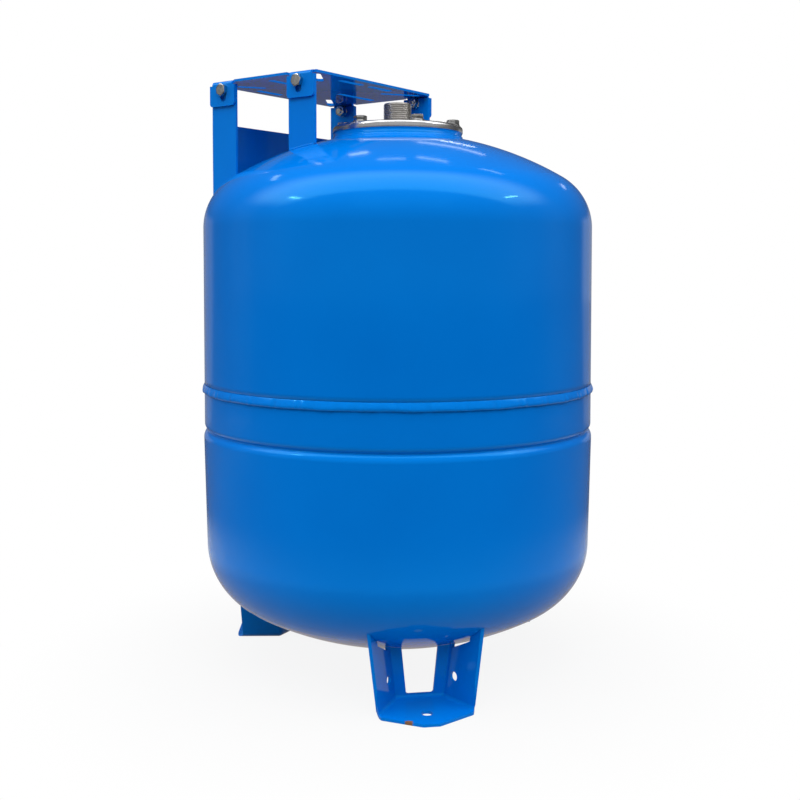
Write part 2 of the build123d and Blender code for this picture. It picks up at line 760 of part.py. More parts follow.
with BuildPart() as air_valve_stem:
    with BuildSketch(Plane.XY.offset(stem_foot_z)):
        Circle(valve_stem_r)
    extrude(amount=stem_top_z - stem_foot_z)
    with BuildSketch(Plane.XY.offset(valve_face_z)):
        RegularPolygon(valve_hex_flat / 2, 6, major_radius=False)
    extrude(amount=-valve_hex_h)
    with BuildSketch(Plane.XY.offset(stem_foot_z)):
        Circle(valve_core_r + valve_gap)
    extrude(amount=stem_top_z - stem_foot_z, mode=Mode.SUBTRACT)
air_valve_stem.part.label = "air_valve_stem"
export_step(air_valve_stem.part, "parts/air_valve_stem.step")

with BuildPart() as air_valve_core:
    with BuildSketch(Plane.XY.offset(stem_foot_z + valve_gap)):
        Circle(valve_core_r)
    extrude(amount=valve_core_h)
air_valve_core.part.label = "air_valve_core"
export_step(air_valve_core.part, "parts/air_valve_core.step")

cap_top_z = valve_face_z - valve_hex_h - valve_gap
cap_foot_z = stem_foot_z - valve_gap - valve_cap_wall
cap_bore_r = valve_stem_r + valve_gap
with BuildPart() as air_valve_cap:
    with BuildSketch(Plane.XY.offset(cap_foot_z)):
        Circle(cap_bore_r + valve_cap_wall)
    extrude(amount=cap_top_z - cap_foot_z)
    chamfer(air_valve_cap.edges().group_by(Axis.Z)[0], valve_cap_wall / 2)
    with BuildSketch(Plane.XY.offset(cap_foot_z + valve_cap_wall)):
        Circle(cap_bore_r)
    extrude(amount=cap_top_z - cap_foot_z, mode=Mode.SUBTRACT)
air_valve_cap.part.label = "air_valve_cap"
export_step(air_valve_cap.part, "parts/air_valve_cap.step")
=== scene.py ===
# %% [markdown]
# # A well pressure tank in gloss blue paint
# The tank is an upright steel bottle on three feet. A stainless flange with a threaded
# outlet closes its top, and a slotted platform on four posts stands over the flange to
# carry a pump. The solids are already in place; this script loads them as a fixed frame
# and builds each visible surface over them as a smooth or detailed piece.

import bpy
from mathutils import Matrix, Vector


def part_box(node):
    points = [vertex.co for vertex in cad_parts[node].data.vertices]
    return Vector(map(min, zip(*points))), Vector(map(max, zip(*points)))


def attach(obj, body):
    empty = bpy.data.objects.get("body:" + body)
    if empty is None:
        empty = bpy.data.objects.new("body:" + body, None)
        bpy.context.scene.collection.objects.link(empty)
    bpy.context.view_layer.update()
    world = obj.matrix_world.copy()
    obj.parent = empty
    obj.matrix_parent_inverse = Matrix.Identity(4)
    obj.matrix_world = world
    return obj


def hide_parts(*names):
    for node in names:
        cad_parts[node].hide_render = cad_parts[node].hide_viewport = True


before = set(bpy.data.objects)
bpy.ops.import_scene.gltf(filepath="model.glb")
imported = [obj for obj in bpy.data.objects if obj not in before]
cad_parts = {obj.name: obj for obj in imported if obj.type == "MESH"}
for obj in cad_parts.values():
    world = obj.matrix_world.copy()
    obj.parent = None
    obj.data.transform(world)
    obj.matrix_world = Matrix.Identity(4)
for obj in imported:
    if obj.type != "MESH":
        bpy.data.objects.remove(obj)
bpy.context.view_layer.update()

# %% [markdown]
# Everything below is measured in metres. The real tank is drawn in millimetres, so one
# value turns a drawing size into a scene size. Heights are read from the solids' boxes,
# and the few sizes that a box can't give are named here and in the cells that use them.

# %% Sizes of the tank
import math

import bmesh
import bpy
import numpy as np
from mathutils import Vector

mm = 0.001
tau = 2 * math.pi


def low(node):
    """Lowest corner of a solid, in metres."""
    return np.array(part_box(node)[0])


def high(node):
    """Highest corner of a solid, in metres."""
    return np.array(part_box(node)[1])


def foot_and_top(node):
    """Lowest and highest height of a solid, in metres."""
    return float(low(node)[2]), float(high(node)[2])


body_r = 225.0 * mm
wall = 1.5 * mm
neck_r = 76.0 * mm
flange_foot, flange_top = foot_and_top("flange")
seam_foot, seam_top = foot_and_top("girth_weld")
seam_z = (seam_foot + seam_top) / 2
print("flange top", round(flange_top, 4), "seam", round(seam_z, 4))

# %% [markdown]
# ## Camera
# The photograph was taken from a little above mid-height, with a lens whose axis passes
# through the upper part of the picture. A small downward tilt keeps the tank's sides
# nearly upright, and the lens shift puts the axis where the picture has it.

# %% Camera
picture = 800  # pixels across the photograph, and the unit of the next three values
focal, axis_x, axis_y = 1122.95, 397.667, 320.523
sensor = 36.0  # millimetres
eye_distance, eye_height = 1.3232, 0.4582  # from the tank's axis and above the floor
eye_turn, eye_pitch = math.radians(53.77), 0.047

camera_data = bpy.data.cameras.new("camera")
camera = bpy.data.objects.new("camera", camera_data)
bpy.context.scene.collection.objects.link(camera)
bpy.context.scene.camera = camera
camera_data.sensor_width = sensor
camera_data.lens = focal * sensor / picture
camera_data.shift_x = (picture / 2 - axis_x) / picture
camera_data.shift_y = (axis_y - picture / 2) / picture
camera_data.clip_end = 60.0

away = Vector((math.sin(eye_turn), math.cos(eye_turn), 0.0))
side = Vector((away.y, -away.x, 0.0))
camera.location = (-eye_distance * away.x, -eye_distance * away.y, eye_height)
aim = (away * math.cos(eye_pitch) + Vector((0, 0, -math.sin(eye_pitch)))).normalized()
camera.rotation_euler = aim.to_track_quat("-Z", "Y").to_euler()
print("camera at", [round(c, 3) for c in camera.location])

# %% [markdown]
# ## Studio
# A gloss paint shows the room as well as its own colour, so the room matters. To the lens
# everything round the tank is white. To the gloss it is a hall: grey in front of the
# tank, dim behind it, with a pale strip of wall on either side of the view that shows
# along the bottle's edges. Each part of the hall is a share between 0 and 1, worked out
# from the direction alone, and these helpers turn directions into such shares.


# %% Node helpers
def add(tree, kind, inputs=None, **settings):
    """A new node of that kind. Settings are its properties; inputs are values or sockets."""
    node = tree.nodes.new(kind)
    for name, value in settings.items():
        setattr(node, name, value)
    for name, value in (inputs or {}).items():
        if isinstance(value, bpy.types.NodeSocket):
            tree.links.new(value, node.inputs[name])
        else:
            node.inputs[name].default_value = value
    return node


def ramp(tree, factor, stops, blend="EASE"):
    """A colour ramp; stops are (position, grey or colour)."""
    node = add(tree, "ShaderNodeValToRGB", {"Fac": factor})
    band = node.color_ramp
    band.interpolation = blend
    while len(band.elements) < len(stops):
        band.elements.new(0.5)
    for element, (place, colour) in zip(band.elements, stops):
        element.position = place
        shade = (colour,) * 3 if isinstance(colour, (int, float)) else colour
        element.color = (*shade[:3], 1.0)
    return node.outputs["Color"]


def number(tree, what, a, b=0.0, c=0.0):
    """One arithmetic step on values or sockets."""
    return add(tree, "ShaderNodeMath", {0: a, 1: b, 2: c}, operation=what).outputs[0]


def product(tree, *factors):
    """All the factors multiplied together."""
    total = factors[0]
    for factor in factors[1:]:
        total = number(tree, "MULTIPLY", total, factor)
    return total


def along(tree, vector, direction):
    """How far a vector reaches in a direction: their dot product."""
    inputs = {0: vector, 1: tuple(direction)}
    return add(tree, "ShaderNodeVectorMath", inputs, operation="DOT_PRODUCT").outputs["Value"]


def as_share(tree, value):
    """A value from -1 to 1 moved to the range of a ramp, 0 to 1."""
    return number(tree, "MULTIPLY_ADD", value, 0.5, 0.5)


# %% Walls of the hall
world = bpy.data.worlds.new("studio")
bpy.context.scene.world = world
world.use_nodes = True
sky = world.node_tree
sky.nodes.clear()
way = add(sky, "ShaderNodeTexCoord").outputs["Generated"]
facing = along(sky, way, away)
across = along(sky, way, side)
rise = add(sky, "ShaderNodeSeparateXYZ", {0: way}).outputs["Z"]
from_front = as_share(sky, facing)
from_floor = as_share(sky, rise)

# Positions on this ramp are cosines of the angle between a direction and straight ahead
side_strips = [(0.66, 0.0), (0.76, 1.0), (0.93, 1.0), (0.97, 0.4)]
grey_room = ramp(sky, from_front, [(0.0, 0.50), (0.30, 0.40), (0.50, 0.20), (0.75, 0.08)])
low_down = ramp(sky, from_floor, [(0.535, 1.0), (0.57, 0.0)])
strip_brightness = number(sky, "MULTIPLY_ADD", across, 0.09, 0.26)
strips = product(sky, ramp(sky, facing, side_strips), low_down, strip_brightness)
room = number(sky, "ADD", strips, grey_room)
print("strips, degrees off:", [round(math.degrees(math.acos(place))) for place, _ in side_strips])

# %% [markdown]
# A skylight runs from left to right overhead and puts the broad bright patch on the dome.
# It starts 30 degrees in front of straight up and fades out a little way behind it. Low
# down in front the room is dimmer for the rays that light a matt surface, which keeps the
# belly of the tank as dark as in the photograph without changing what the gloss shows.

# %% Skylight
skylight_strength, front_dimming = 2.2, -0.6
forward_lean = 0.577  # tangent of the 30 degrees between straight up and the skylight's edge
high_up = ramp(sky, from_floor, [(0.68, 0.0), (0.80, 1.0)])
edge = as_share(sky, number(sky, "MULTIPLY_ADD", rise, forward_lean, facing))
past_edge = ramp(sky, edge, [(0.47, 0.0), (0.53, 1.0)])
not_behind = ramp(sky, from_front, [(0.50, 1.0), (0.68, 0.0)])
skylight = product(sky, high_up, not_behind, past_edge)
room = number(sky, "MULTIPLY_ADD", skylight, skylight_strength, room)

paths = add(sky, "ShaderNodeLightPath").outputs
near_floor = ramp(sky, from_floor, [(0.60, 1.0), (0.80, 0.0)])
in_front = ramp(sky, from_front, [(0.30, 1.0), (0.50, 0.0)])
dimmer = product(sky, near_floor, in_front, paths["Is Diffuse Ray"], front_dimming)
room = number(sky, "MULTIPLY_ADD", room, dimmer, room)
seen = add(sky, "ShaderNodeBackground", {"Color": (1, 1, 1, 1), "Strength": 1.0}).outputs[0]
lit = add(sky, "ShaderNodeBackground", {"Color": room, "Strength": 1.0}).outputs[0]
mixed = add(sky, "ShaderNodeMixShader", {0: paths["Is Camera Ray"], 1: lit, 2: seen}).outputs[0]
add(sky, "ShaderNodeOutputWorld", {"Surface": mixed})
print("nodes of the world:", len(sky.nodes))

# %% [markdown]
# Four soft lamps light the tank: a broad one above for the dome, a tall one at each side
# and a large one above the camera that fills the front. They are left out of the gloss,
# so that it shows the room alone. Ten small lights on the ceiling do the opposite: they
# hardly light the tank, but each leaves a short streak in the paint of the dome.


# %% Lamps
def lamp(name, place, size, power, aim, shown):
    """A soft rectangular lamp, turned to a point above the tank's foot.

    Its place is metres to the right of the tank's axis, back from it and up, as the camera
    sees it. One that isn't shown lights the tank but leaves no bright patch in its gloss.
    """
    data = bpy.data.lights.new(name, "AREA")
    data.shape = "RECTANGLE"
    data.size, data.size_y = size
    data.energy = power
    thing = bpy.data.objects.new(name, data)
    bpy.context.scene.collection.objects.link(thing)
    right, back, up = place
    thing.location = side * right + away * back + Vector((0, 0, up))
    thing.rotation_euler = (Vector((0, 0, aim)) - thing.location).to_track_quat("-Z", "Y").to_euler()
    thing.visible_glossy = shown


middle_z, dome_z = 0.36, 0.55
lamp("lamp_above", (-0.1, -0.1, 2.3), (2.4, 2.0), 11, middle_z, shown=False)
lamp("lamp_left", (-2.2, 0.3, 0.7), (0.8, 1.8), 15, middle_z, shown=False)
lamp("lamp_right", (2.2, 0.3, 0.7), (0.8, 1.8), 9, middle_z, shown=False)
lamp("lamp_fill", (0.1, -2.0, 2.2), (2.4, 1.4), 46, middle_z, shown=False)

# %% Small lights of the ceiling
# Azimuth and elevation from the dome in degrees, width and height in metres, brightness
ceiling = [
    (-52, 46, 0.55, 0.12, 2.6), (40, 53, 0.60, 0.08, 2.4), (11, 52, 0.32, 0.07, 2.4),
    (-2, 54, 0.28, 0.06, 2.0), (-10, 46, 0.18, 0.12, 2.4), (2, 28, 0.90, 0.05, 5.0),
    (10, 35, 0.55, 0.10, 1.6), (38, 24, 0.30, 0.10, 1.8), (-112, 36, 0.36, 0.07, 34.0),
    (103, 36, 0.40, 0.06, 30.0),
]
ceiling_distance = 3.0
for count, (azimuth, elevation, width, tall, brightness) in enumerate(ceiling):
    a, e = math.radians(azimuth), math.radians(elevation)
    level = ceiling_distance * math.cos(e)
    place = (level * math.sin(a), level * math.cos(a), dome_z + ceiling_distance * math.sin(e))
    power = math.pi * width * tall * brightness
    lamp(f"ceiling_light_{count}", place, (width, tall), power, dome_z, shown=True)

# %% [markdown]
# The floor is white paper. To the lens, most of its light near the tank is its own and all
# of it further out, so that it joins the white behind without a line; the part that is lit
# keeps the shadow. What it throws back at the tank falls from a pale tone by the feet to a
# dark one about a metre out. Two glows are for the gloss alone: a warm one close to the
# tank, and the pale foot of the hall's side walls some two metres off. It lies a fraction
# of a millimetre under the feet, so that the two surfaces never flicker into each other.


# %% Floor helpers
def by_distance(tree, distance, widest, stops):
    """A ramp over a distance; its stops are (metres, grey) within the widest distance."""
    share = number(tree, "MULTIPLY", distance, 1 / widest)
    return ramp(tree, share, [(metres / widest, grey) for metres, grey in stops])


def glow(tree, colour, strength):
    """Light of one colour, the same in every direction."""
    inputs = {"Color": (*colour, 1), "Strength": strength}
    return add(tree, "ShaderNodeEmission", inputs).outputs[0]


def laid_over(tree, share, under, top):
    """One shader over another, by a share between 0 and 1."""
    return add(tree, "ShaderNodeMixShader", {0: share, 1: under, 2: top}).outputs[0]


# %% Floor
floor_reach, under_feet = 14.0, -0.2 * mm
corners = [(x * floor_reach, y * floor_reach, under_feet) for x, y in ((-1, -1), (1, -1), (1, 1), (-1, 1))]
floor_mesh = bpy.data.meshes.new("floor")
floor_mesh.from_pydata(corners, [], [(0, 1, 2, 3)])
floor = bpy.data.objects.new("floor", floor_mesh)
bpy.context.scene.collection.objects.link(floor)

paper = bpy.data.materials.new("white_paper")
paper.use_nodes = True
tree = paper.node_tree
tree.nodes.clear()
paths = add(tree, "ShaderNodeLightPath").outputs
place = add(tree, "ShaderNodeTexCoord").outputs["Object"]
out = add(tree, "ShaderNodeVectorMath", {0: place}, operation="LENGTH").outputs["Value"]
outward = add(tree, "ShaderNodeVectorMath", {0: place}, operation="NORMALIZE").outputs[0]

paper_tone = by_distance(tree, out, 4.0, [(0.56, 0.42), (0.96, 0.09)])
ground = add(tree, "ShaderNodeBsdfDiffuse", {"Color": paper_tone}).outputs[0]
own_light = by_distance(tree, out, 2.0, [(0.16, 0.90), (0.48, 1.0)])
lens_share = product(tree, paths["Is Camera Ray"], own_light)
ground = laid_over(tree, lens_share, ground, glow(tree, (1, 1, 1), 1.0))
far_off = by_distance(tree, out, 10.0, [(1.8, 0.0), (2.1, 1.0)])
at_strips = ramp(tree, along(tree, outward, away), side_strips)
wall_share = product(tree, at_strips, far_off, paths["Is Glossy Ray"])
ground = laid_over(tree, wall_share, ground, glow(tree, (1, 1, 1), 0.28))
close_by = by_distance(tree, out, 1.0, [(0.40, 1.0), (0.54, 0.0)])
near_share = product(tree, close_by, paths["Is Glossy Ray"])
ground = laid_over(tree, near_share, ground, glow(tree, (0.66, 0.58, 0.50), 0.7))
add(tree, "ShaderNodeOutputMaterial", {"Surface": ground})
floor_mesh.materials.append(paper)
bpy.context.scene.view_settings.view_transform = "Standard"
print("floor:", 2 * floor_reach, "metres wide")

# %% [markdown]
# ## Surfaces from formulas
# Every new piece is a grid of points worked out with whole arrays: a profile turned
# about an axis, or a section carried along a path. The helpers keep such a grid as a table
# of radii and a table of heights, one row for each ring, and turn it into a mesh whose
# columns always close round the turn.


# %% Grid helpers
def full_turn(steps):
    """Angles of one turn; the last step is left out, because it is the first again."""
    return np.arange(steps) * tau / steps


def ring_rows(rows, steps):
    """Tables of radius and height. Each row gives both, as one value or as one per step."""
    r = np.array([radius + np.zeros(steps) for radius, height in rows])
    z = np.array([height + np.zeros(steps) for radius, height in rows])
    return r, z


def joined(*tables):
    """Several pairs of radius and height tables as one pair, in their order."""
    return np.concatenate([t[0] for t in tables]), np.concatenate([t[1] for t in tables])


def spun(r, z):
    """Points at (r cos a, r sin a, z) for the angles a of a full turn about the tank's axis."""
    angle = full_turn(r.shape[1])
    return np.stack([r * np.cos(angle), r * np.sin(angle), z], axis=-1)


def grid_quads(rows, columns, close_rows, start=0):
    """Corner numbers of a grid's faces. Columns run round; closed rows join last to first."""
    r = np.arange(rows if close_rows else rows - 1)
    i, j = np.meshgrid(r, np.arange(columns), indexing="ij")
    i2, j2 = (i + 1) % rows, (j + 1) % columns
    quads = np.stack([i * columns + j, i * columns + j2, i2 * columns + j2, i2 * columns + j], axis=-1)
    return quads.reshape(-1, 4) + start


def arc(centre, radius, start, end, count):
    """Points on a circle from one angle to another, in degrees."""
    a = np.radians(np.linspace(start, end, count))
    return np.stack([centre[0] + radius * np.cos(a), centre[1] + radius * np.sin(a)], axis=-1)


# %% Mesh helpers
def mesh_piece(name, points, quads, finish, node=None):
    """Put points and four-cornered faces into a mesh that rides on the tank's body."""
    mesh = bpy.data.meshes.new(name)
    points = np.asarray(points, dtype=np.float32).reshape(-1, 3)
    quads = np.asarray(quads, dtype=np.int32)
    mesh.vertices.add(len(points))
    mesh.vertices.foreach_set("co", points.ravel())
    mesh.loops.add(quads.size)
    mesh.loops.foreach_set("vertex_index", quads.ravel())
    mesh.polygons.add(len(quads))
    mesh.polygons.foreach_set("loop_start", np.arange(0, quads.size, 4, dtype=np.int32))
    mesh.update(calc_edges=True)
    mesh.validate()
    mesh.polygons.foreach_set("use_smooth", np.full(len(mesh.polygons), True))
    thing = bpy.data.objects.new(name, mesh)
    bpy.context.scene.collection.objects.link(thing)
    mesh.materials.append(finish)
    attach(thing, "root")
    if node:
        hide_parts(node)
    print(f"{name}: {len(quads)} faces")
    return thing


def turned_piece(name, profile, steps, finish, node, wave=None):
    """Turn a closed profile of (radius, height) points about the tank's axis into a piece.

    Point (i, j) lies at radius r_i, angle 2 pi j / steps and height z_i; wave(angle, height)
    adds a small length to the radius. The profile runs up its outside and down its inside.
    """
    r, z = ring_rows(profile, steps)
    if wave is not None:
        r = r + wave(full_turn(steps) + np.zeros_like(r), z)
    return mesh_piece(name, spun(r, z), grid_quads(*r.shape, True), finish, node)


# %% [markdown]
# ## Paint
# The bottle, platform, posts and feet share one gloss blue enamel. Seen close, sprayed
# enamel has two kinds of unevenness: a fine orange peel of a few millimetres, and slow
# waves where the pressed sheet isn't quite true. Both only tilt the surface, so a group
# puts out one height for a Bump node, with a slow tone for the colour.


# %% Group for uneven skins
def new_group(name, inputs, outputs):
    """A shader group with number inputs and the outputs named, and its two end nodes."""
    group = bpy.data.node_groups.new(name, "ShaderNodeTree")
    for label, value in inputs.items():
        socket = group.interface.new_socket(label, in_out="INPUT", socket_type="NodeSocketFloat")
        socket.default_value = value
    for label in outputs:
        group.interface.new_socket(label, in_out="OUTPUT", socket_type="NodeSocketFloat")
    start = group.nodes.new("NodeGroupInput")
    end = group.nodes.new("NodeGroupOutput")
    return group, start.outputs, end.inputs


skin, skin_in, skin_out = new_group(
    "uneven_skin",
    {"Peel Scale": 380.0, "Peel Height": 2.5e-6, "Wave Scale": 9.0, "Wave Height": 1.0e-4},
    ["Height", "Tone"],
)
where = add(skin, "ShaderNodeTexCoord").outputs["Object"]
peel = add(skin, "ShaderNodeTexNoise", {"Vector": where, "Scale": skin_in["Peel Scale"], "Detail": 1.0})
waves = add(skin, "ShaderNodeTexNoise", {"Vector": where, "Scale": skin_in["Wave Scale"], "Detail": 1.5})
peel_part = product(skin, peel.outputs["Fac"], skin_in["Peel Height"])
total = number(skin, "MULTIPLY_ADD", waves.outputs["Fac"], skin_in["Wave Height"], peel_part)
skin.links.new(total, skin_out["Height"])
skin.links.new(waves.outputs["Fac"], skin_out["Tone"])
print("group:", skin.name)

# %% [markdown]
# Every finish here is built alike: a group gives a tone and a height, the tone moves the
# colour and the roughness between two values each, and the height tilts the surface.


# %% Material helpers
def material(name):
    """A new node material; gives the material, its tree and its Principled shader."""
    thing = bpy.data.materials.new(name)
    thing.use_nodes = True
    return thing, thing.node_tree, thing.node_tree.nodes["Principled BSDF"]


def uneven(tree, shader, group, values):
    """Put a group with its own values in a material and tilt the surface by its height in metres.

    Gives the group's tone.
    """
    node = add(tree, "ShaderNodeGroup", node_tree=group)
    for label, value in values.items():
        node.inputs[label].default_value = value
    bump = add(tree, "ShaderNodeBump", {"Height": node.outputs["Height"], "Strength": 1.0, "Distance": 1.0})
    tree.links.new(bump.outputs["Normal"], shader.inputs["Normal"])
    return node.outputs["Tone"]


def toned_finish(name, group, values, dark, light, smooth, rough, metallic=0.0):
    """A material whose colour and roughness follow a group's tone: smooth + tone * (rough - smooth)."""
    thing, tree, shader = material(name)
    shader.inputs["Metallic"].default_value = metallic
    tone = uneven(tree, shader, group, values)
    colour = ramp(tree, tone, [(0.3, dark), (0.7, light)], "LINEAR")
    tree.links.new(colour, shader.inputs["Base Color"])
    roughness = number(tree, "MULTIPLY_ADD", tone, rough - smooth, smooth)
    tree.links.new(roughness, shader.inputs["Roughness"])
    return thing


# %% [markdown]
# The enamel's gloss is tinted blue, as the photograph's streaks are. On the front edge of
# one foot a spot of paint is chipped off: a mask round that point, made ragged by a noise,
# turns the colour to brown primer and the gloss to matt.

# %% Gloss blue enamel
deep_blue, light_blue, primer = (0.0, 0.150, 0.585), (0.0, 0.164, 0.620), (0.20, 0.085, 0.035)
chip_place = (-0.1691, -0.1377, 0.0015)
per_metre, raggedness = 90.0, 0.45  # the mask grows by 90 a metre, so the chip is 4 mm in radius


def chip_mask(tree, place):
    """A share that is 1 within a ragged spot round a place and 0 outside it."""
    where = add(tree, "ShaderNodeTexCoord").outputs["Object"]
    ragged = add(tree, "ShaderNodeTexNoise", {"Vector": where, "Scale": 420.0, "Detail": 3.0}).outputs["Fac"]
    off = add(tree, "ShaderNodeVectorMath", {0: where, 1: place}, operation="DISTANCE").outputs["Value"]
    reached = number(tree, "MULTIPLY_ADD", ragged, raggedness, product(tree, off, per_metre))
    return ramp(tree, reached, [(0.58, 1.0), (0.64, 0.0)])


def enamel(name, peel_height, wave_height, chip=None):
    """Gloss blue paint; tone and roughness drift slowly over the sheet."""
    thing, tree, shader = material(name)
    tone = uneven(tree, shader, skin, {"Peel Height": peel_height, "Wave Height": wave_height})
    colour = ramp(tree, tone, [(0.25, deep_blue), (0.75, light_blue)], "LINEAR")
    rough = number(tree, "MULTIPLY_ADD", tone, 0.06, 0.07)
    if chip:
        bare = chip_mask(tree, chip)
        blend = add(tree, "ShaderNodeMix", {0: bare, 6: colour, 7: (*primer, 1.0)}, data_type="RGBA")
        colour = blend.outputs[2]
        rough = number(tree, "MULTIPLY_ADD", bare, 0.6, rough)
    tree.links.new(colour, shader.inputs["Base Color"])
    tree.links.new(rough, shader.inputs["Roughness"])
    shader.inputs["Specular Tint"].default_value = (0.06, 0.72, 1.0, 1.0)
    shader.inputs["IOR"].default_value = 1.55
    return thing


bottle_paint = enamel("bottle_enamel", 2.0e-6, 9.0e-5)
sheet_paint = enamel("bracket_enamel", 3.0e-6, 4.0e-5, chip_place)
print("paints:", bottle_paint.name, sheet_paint.name)

# %% [markdown]
# ## Metals
# The flange is stainless steel, pressed and brushed in rings; bolts, nuts and washers
# are zinc plated, with a slightly mottled grey skin. One group makes fine marks that run
# round the tank's axis, by stretching a noise along the angle.

# %% Group for ring marks
rings, rings_in, rings_out = new_group("ring_marks", {"Fineness": 900.0, "Depth": 2.0e-6}, ["Height", "Tone"])
spot = add(rings, "ShaderNodeSeparateXYZ", {0: add(rings, "ShaderNodeTexCoord").outputs["Object"]})
flat = add(rings, "ShaderNodeCombineXYZ", {0: spot.outputs[0], 1: spot.outputs[1], 2: 0.0})
from_axis = add(rings, "ShaderNodeVectorMath", {0: flat.outputs[0]}, operation="LENGTH").outputs["Value"]
round_way = number(rings, "ARCTAN2", spot.outputs[1], spot.outputs[0])
line = add(rings, "ShaderNodeCombineXYZ", {
    0: product(rings, from_axis, rings_in["Fineness"]),
    1: product(rings, round_way, 2.0),
    2: product(rings, spot.outputs[2], rings_in["Fineness"]),
})
marks = add(rings, "ShaderNodeTexNoise", {"Vector": line.outputs[0], "Scale": 1.0, "Detail": 3.0})
rings.links.new(marks.outputs["Fac"], rings_out["Tone"])
rings.links.new(product(rings, marks.outputs["Fac"], rings_in["Depth"]), rings_out["Height"])
print("group:", rings.name)


# %% Steel, zinc and brass
def ring_marked(name, fineness, depth, dark, light, smooth, rough):
    """Bare metal with fine marks round the axis."""
    return toned_finish(name, rings, {"Fineness": fineness, "Depth": depth}, dark, light, smooth, rough, 1.0)


stainless = ring_marked("brushed_stainless", 700.0, 1.5e-6,
                        (0.62, 0.62, 0.63), (0.82, 0.82, 0.83), 0.16, 0.32)
turned_steel = ring_marked("turned_outlet_steel", 1200.0, 1.5e-6,
                           (0.50, 0.48, 0.46), (0.72, 0.70, 0.67), 0.22, 0.38)
brass = ring_marked("valve_brass", 1500.0, 1.0e-6, (0.55, 0.36, 0.13), (0.78, 0.56, 0.24), 0.18, 0.38)
mottle = {"Peel Scale": 1600.0, "Peel Height": 3.0e-6, "Wave Scale": 260.0, "Wave Height": 1.0e-5}
zinc = toned_finish("zinc_plate", skin, mottle, (0.50, 0.50, 0.49), (0.72, 0.72, 0.71), 0.12, 0.24, 1.0)

# %% [markdown]
# The cap of the air valve is black plastic with a fine moulded grain, and the bladder is
# black rubber, more matt and a little dusty. Both use the skin group at their own scales.

# %% Cap plastic and bladder rubber
grain = {"Peel Scale": 2600.0, "Peel Height": 6.0e-6, "Wave Scale": 300.0, "Wave Height": 1.0e-5}
plastic = toned_finish("cap_plastic", skin, grain, (0.012, 0.012, 0.013), (0.022, 0.022, 0.023), 0.42, 0.62)
soft = {"Peel Scale": 900.0, "Peel Height": 1.2e-5, "Wave Scale": 40.0, "Wave Height": 1.0e-4}
rubber = toned_finish("bladder_rubber", skin, soft, (0.014, 0.014, 0.014), (0.035, 0.034, 0.033), 0.6, 0.8)
print("materials:", len(bpy.data.materials))

# %% [markdown]
# ## Bottle
# Each half is drawn from sheet: a dished end whose crown and knuckle are two arcs with a
# common tangent, and a straight wall. The profile is drawn once outside and once inside,
# and turned about the axis.


# %% Upper half
def dome_parts(rim, knuckle, crown):
    """Height from the crown's centre to the tangent line, and the angle where the arcs meet.

    The knuckle's centre is rim - knuckle from the axis and crown - knuckle from the crown's
    centre, so the height is the third side of a right-angled triangle.
    """
    across = rim - knuckle
    drop = math.sqrt((crown - knuckle) ** 2 - across**2)
    return drop, math.degrees(math.atan2(drop, across))


def dome(rim, knuckle, crown, tangent, up, opening, inside=0.0):
    """Knuckle arc then crown arc, from the rim to an opening's radius; up is 1 or -1."""
    points_each = 48
    drop, join = dome_parts(rim, knuckle, crown)
    last = math.degrees(math.acos(opening / (crown - inside)))
    bend = arc((rim - knuckle, tangent), knuckle - inside, 0, up * join, points_each)
    cap = arc((0, tangent - up * drop), crown - inside, up * join, up * last, points_each)
    return np.concatenate([bend, cap[1:]])


upper_knuckle, upper_crown, neck_hole = 67.0 * mm, 377.0 * mm, 71.15 * mm
upper_drop, upper_join = dome_parts(body_r, upper_knuckle, upper_crown)
upper_rim, upper_top = foot_and_top("upper_shell")
upper_tangent = upper_top - math.sqrt(upper_crown**2 - neck_hole**2) + upper_drop
outside = dome(body_r, upper_knuckle, upper_crown, upper_tangent, 1, neck_hole)
inside = dome(body_r, upper_knuckle, upper_crown, upper_tangent, 1, neck_hole, wall)
wall_rows, bottle_steps = 23, 288
heights = np.linspace(upper_rim, upper_tangent, wall_rows + 1)[:-1]
up_wall = np.stack([np.full(wall_rows, body_r), heights], axis=-1)
down_wall = np.stack([np.full(wall_rows, body_r - wall), heights], axis=-1)[::-1]
upper_profile = np.concatenate([up_wall, outside, inside[::-1], down_wall])
turned_piece("bottle_upper_half", upper_profile, bottle_steps, bottle_paint, "upper_shell")
print("upper tangent line at", round(upper_tangent, 4))

# %% [markdown]
# The lower half was drawn deeper, so its wall tapers towards the bottom. A groove is
# rolled into it below the seam, with a soft lip, and above the groove the wall steps in to
# slip inside the upper half. The wall is a line of corners, each rounded by an arc.


# %% Lower half
def rounded(corners, radii, fine=8):
    """An open line with each inner corner rounded: tangent points and the arc between them."""
    corners = [np.array(c, dtype=float) for c in corners]
    line = [corners[0]]
    for before, here, after, radius in zip(corners, corners[1:], corners[2:], radii):
        u = (before - here) / np.linalg.norm(before - here)
        v = (after - here) / np.linalg.norm(after - here)
        half = math.acos(float(np.clip(u @ v, -1, 1))) / 2
        reach = radius / math.tan(half)
        middle = here + (u + v) / np.linalg.norm(u + v) * radius / math.sin(half)
        a, b = here + u * reach - middle, here + v * reach - middle
        t = np.linspace(0, 1, fine)[:, None]
        spread = math.acos(float(np.clip(a @ b / radius**2, -1, 1)))
        line.extend(middle + (np.sin((1 - t) * spread) * a + np.sin(t * spread) * b) / math.sin(spread))
    line.append(corners[-1])
    return np.array(line)


